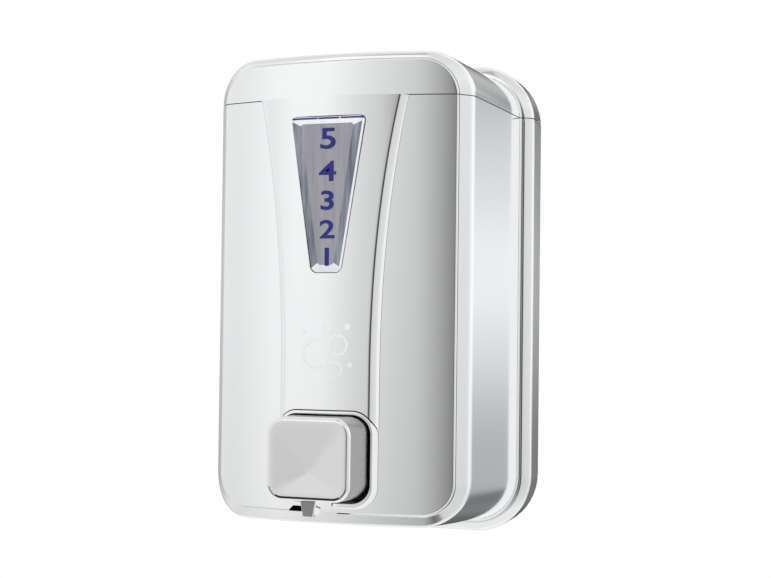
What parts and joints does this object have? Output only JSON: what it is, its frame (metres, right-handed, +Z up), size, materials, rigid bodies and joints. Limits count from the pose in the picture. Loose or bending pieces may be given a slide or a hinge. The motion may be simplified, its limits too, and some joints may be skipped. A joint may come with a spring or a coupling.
{
  "type": "foam soap dispenser",
  "caption": "Wall-mounted foam soap dispenser with a tapered level window, a square push button, a foam nozzle and a lift-off locking lid.",
  "frame": {"origin": "on the wall plane, behind the middle of the dispenser's height and width", "axes": "+X to the right seen from the front, +Y into the wall, +Z up"},
  "size_m": [0.127, 0.1191, 0.21],
  "materials": {
    "plated_shell": "bright chrome plating on moulded plastic",
    "satin_silver": "satin silver coating on moulded plastic",
    "clear_window": "clear moulded plastic with bevelled edges",
    "grey_plastic": "mid grey moulded plastic",
    "white_plastic": "white moulded plastic",
    "milky_plastic": "milky, slightly translucent moulded plastic",
    "black_rubber": "matte black rubber",
    "bright_steel": "plain bright steel",
    "brass": "plain brass"
  },
  "bodies": {
    "casing": {"wall_plate": "white_plastic", "body_shell": "plated_shell", "body_screw": "bright_steel", "front_panel": "plated_shell", "front_strap": "plated_shell", "button_bezel": "plated_shell", "level_window": "clear_window", "window_gasket": "black_rubber", "reservoir": "milky_plastic", "inlet_tube": "milky_plastic", "coupling_sleeve": "black_rubber", "pump_housing": "white_plastic", "housing_cap": "white_plastic", "housing_nut": "grey_plastic", "pump_bracket": "grey_plastic", "bracket_screw_left": "bright_steel", "bracket_screw_right": "bright_steel", "valve_seat": "black_rubber", "return_spring": "bright_steel"},
    "button": {"push_button": "satin_silver", "nozzle": "grey_plastic", "foam_duct": "grey_plastic", "foam_cartridge": "white_plastic", "pump_stem": "white_plastic", "air_piston": "milky_plastic", "liquid_piston": "milky_plastic"},
    "lid": {"lid_shell": "plated_shell", "lid_panel": "plated_shell", "lid_strap": "plated_shell", "lock_barrel": "bright_steel", "lock_nut": "brass"},
    "lock": {"lock_plug": "bright_steel", "lock_cam": "bright_steel", "cam_screw": "bright_steel"},
    "ball": {"inlet_ball": "bright_steel"}
  },
  "joints": [
    {"name": "button_press", "type": "slide", "parent": "casing", "child": "button", "axis": [0, 1, 0], "range_m": [0, 0.009], "stiffness_N_per_m": 600, "springref_m": -0.012, "deforming": ["return_spring"]},
    {"name": "inlet_ball_lift", "type": "slide", "parent": "casing", "child": "ball", "axis": [0, 0, 1], "range_m": [0, 0.0008]},
    {"name": "lid_lift", "type": "slide", "parent": "casing", "child": "lid", "axis": [0, 0, 1], "range_m": [0, 0.06]},
    {"name": "lock_turn", "type": "hinge", "parent": "lid", "child": "lock", "pos_m": [0, -0.052, 0.083], "axis": [0, 0, 1], "range_deg": [0, 90]}
  ]
}
